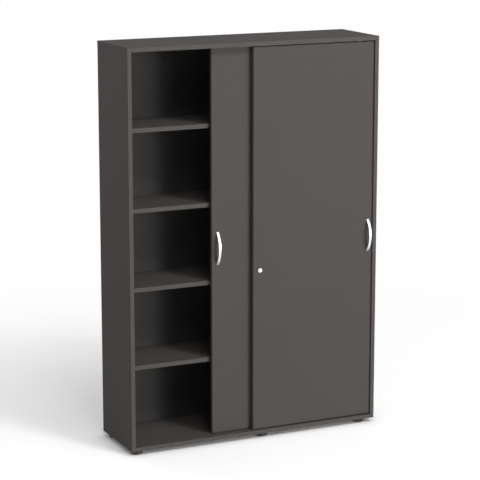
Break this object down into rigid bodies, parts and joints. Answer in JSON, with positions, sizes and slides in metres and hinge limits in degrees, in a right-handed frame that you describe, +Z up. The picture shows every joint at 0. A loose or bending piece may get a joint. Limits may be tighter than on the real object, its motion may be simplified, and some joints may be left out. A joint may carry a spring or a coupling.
{
  "type": "sliding door cabinet",
  "caption": "Tall office cabinet with shelves behind inset sliding doors that pass each other, on round glides, with bow handles and a cylinder lock",
  "frame": {"origin": "on the floor, under the middle of the overall box", "axes": "+X to the cabinet's right as seen from the front, +Y from the front to the back, +Z up"},
  "size_m": [1.2, 0.3644, 1.777],
  "materials": {
    "board": "melamine-faced board, warm dark grey, fine pore, matching edge band",
    "door": "melamine-faced board, warm dark grey, fine pore, matching edge band",
    "shelf": "melamine-faced board, warm dark grey, matching edge band",
    "back": "thin hardboard, lacquered dark grey",
    "track": "extruded dark plastic",
    "rubber": "soft black rubber",
    "glide": "moulded near-black plastic",
    "handle": "satin nickel-plated",
    "nylon": "dark grey nylon",
    "steel": "zinc-plated steel",
    "plastic": "moulded dark grey plastic",
    "nickel": "satin nickel-plated"
  },
  "bodies": {
    "carcass": {"top_panel": "board", "bottom_panel": "board", "left_side": "board", "right_side": "board", "centre_partition": "board", "left_back_panel": "back", "right_back_panel": "back", "left_shelf_1": "shelf", "left_shelf_2": "shelf", "left_shelf_3": "shelf", "left_shelf_4": "shelf", "right_shelf_1": "shelf", "right_shelf_2": "shelf", "right_shelf_3": "shelf", "right_shelf_4": "shelf", "front_lower_track": "track", "rear_lower_track": "track", "front_upper_track": "track", "rear_upper_track": "track", "rear_door_buffer": "rubber", "front_door_buffer": "rubber", "front_left_socket": "glide", "front_middle_socket": "glide", "front_right_socket": "glide", "back_left_socket": "glide", "back_middle_socket": "glide", "back_right_socket": "glide"},
    "front_door": {"front_door_panel": "door", "front_door_handle": "handle", "lock_housing": "nickel", "lock_nut": "steel", "front_door_left_axle": "steel", "front_door_left_housing": "plastic", "front_door_left_guide": "plastic", "front_door_right_axle": "steel", "front_door_right_housing": "plastic", "front_door_right_guide": "plastic"},
    "rear_door": {"rear_door_panel": "door", "rear_door_handle": "handle", "rear_door_left_axle": "steel", "rear_door_left_housing": "plastic", "rear_door_left_guide": "plastic", "rear_door_right_axle": "steel", "rear_door_right_housing": "plastic", "rear_door_right_guide": "plastic"},
    "front_door_left_roller": {"front_door_left_roller": "nylon"},
    "front_door_right_roller": {"front_door_right_roller": "nylon"},
    "rear_door_left_roller": {"rear_door_left_roller": "nylon"},
    "rear_door_right_roller": {"rear_door_right_roller": "nylon"},
    "lock_plug": {"lock_plug": "nickel"},
    "lock_bolt": {"lock_bolt": "steel"},
    "front_left_glide": {"front_left_glide": "glide"},
    "front_middle_glide": {"front_middle_glide": "glide"},
    "front_right_glide": {"front_right_glide": "glide"},
    "back_left_glide": {"back_left_glide": "glide"},
    "back_middle_glide": {"back_middle_glide": "glide"},
    "back_right_glide": {"back_right_glide": "glide"}
  },
  "joints": [
    {"name": "front_door_slide", "type": "slide", "parent": "carcass", "child": "front_door", "axis": [1, 0, 0], "range_m": [-0.148, 0]},
    {"name": "rear_door_slide", "type": "slide", "parent": "carcass", "child": "rear_door", "axis": [1, 0, 0], "range_m": [-0.3795, 0]},
    {"name": "front_door_left_roller_spin", "type": "hinge", "parent": "front_door", "child": "front_door_left_roller", "pos_m": [0.058, -0.14485, 0.0458], "axis": [0, 1, 0], "continuous": true},
    {"name": "front_door_right_roller_spin", "type": "hinge", "parent": "front_door", "child": "front_door_right_roller", "pos_m": [0.5095, -0.14485, 0.0458], "axis": [0, 1, 0], "continuous": true},
    {"name": "rear_door_left_roller_spin", "type": "hinge", "parent": "rear_door", "child": "rear_door_left_roller", "pos_m": [-0.13, -0.11885, 0.0458], "axis": [0, 1, 0], "continuous": true},
    {"name": "rear_door_right_roller_spin", "type": "hinge", "parent": "rear_door", "child": "rear_door_right_roller", "pos_m": [0.3215, -0.11885, 0.0458], "axis": [0, 1, 0], "continuous": true},
    {"name": "lock_plug_turn", "type": "hinge", "parent": "front_door", "child": "lock_plug", "pos_m": [0.0205, -0.15385, 0.769], "axis": [0, 1, 0], "range_deg": [0, 90]},
    {"name": "lock_bolt_throw", "type": "slide", "parent": "front_door", "child": "lock_bolt", "axis": [0, 1, 0], "range_m": [0, 0.0074]},
    {"name": "front_left_glide_level", "type": "slide", "parent": "carcass", "child": "front_left_glide", "axis": [0, 0, 1], "range_m": [-0.01, 0]},
    {"name": "front_middle_glide_level", "type": "slide", "parent": "carcass", "child": "front_middle_glide", "axis": [0, 0, 1], "range_m": [-0.01, 0]},
    {"name": "front_right_glide_level", "type": "slide", "parent": "carcass", "child": "front_right_glide", "axis": [0, 0, 1], "range_m": [-0.01, 0]},
    {"name": "back_left_glide_level", "type": "slide", "parent": "carcass", "child": "back_left_glide", "axis": [0, 0, 1], "range_m": [-0.01, 0]},
    {"name": "back_middle_glide_level", "type": "slide", "parent": "carcass", "child": "back_middle_glide", "axis": [0, 0, 1], "range_m": [-0.01, 0]},
    {"name": "back_right_glide_level", "type": "slide", "parent": "carcass", "child": "back_right_glide", "axis": [0, 0, 1], "range_m": [-0.01, 0]}
  ],
  "couplings": [
    {"joint": "front_door_left_roller_spin", "follows": "front_door_slide", "rad_per_m": 90.909},
    {"joint": "front_door_right_roller_spin", "follows": "front_door_slide", "rad_per_m": 90.909},
    {"joint": "rear_door_left_roller_spin", "follows": "rear_door_slide", "rad_per_m": 90.909},
    {"joint": "rear_door_right_roller_spin", "follows": "rear_door_slide", "rad_per_m": 90.909},
    {"joint": "lock_plug_turn", "follows": "lock_bolt_throw", "rad_per_m": 212.2}
  ]
}
